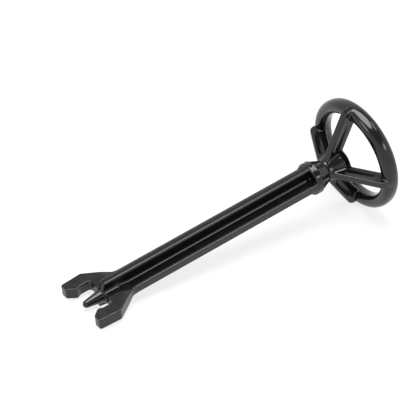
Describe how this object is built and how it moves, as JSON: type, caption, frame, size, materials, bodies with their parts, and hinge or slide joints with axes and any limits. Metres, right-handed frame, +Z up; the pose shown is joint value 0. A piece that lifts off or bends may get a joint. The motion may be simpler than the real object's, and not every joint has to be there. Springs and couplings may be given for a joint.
{
  "type": "two-jaw fork tool",
  "caption": "Long rigid hand tool with a two-jaw fork and tapered centre pin at one end, a ribbed shaft, and a spoked ring handle at the other.",
  "frame": {"origin": "centre of the footprint on the floor plane the tool rests on, touching the jaw tips' lower edges and the ring's lowest point", "axes": "+X along the tool from the jaws to the ring, level; +Z up; +Y across the fork plate. The shaft axis rises about 9.1 degrees from the jaws to the ring"},
  "size_m": [0.2938, 0.1002, 0.0995],
  "materials": {
    "ring_plastic": "gloss, slightly rounded by handling",
    "body_plastic": "gloss",
    "fork_plastic": "semi-gloss"
  },
  "bodies": {
    "root": {"hand_ring": "ring_plastic", "spoke_top": "body_plastic", "spoke_near": "body_plastic", "spoke_bottom": "body_plastic", "spoke_far": "body_plastic", "hub": "body_plastic", "collar": "body_plastic", "shaft_web": "body_plastic", "shaft_rib_upper": "body_plastic", "shaft_rib_lower": "body_plastic", "fork_head": "fork_plastic", "centre_pin": "body_plastic"}
  },
  "joints": []
}
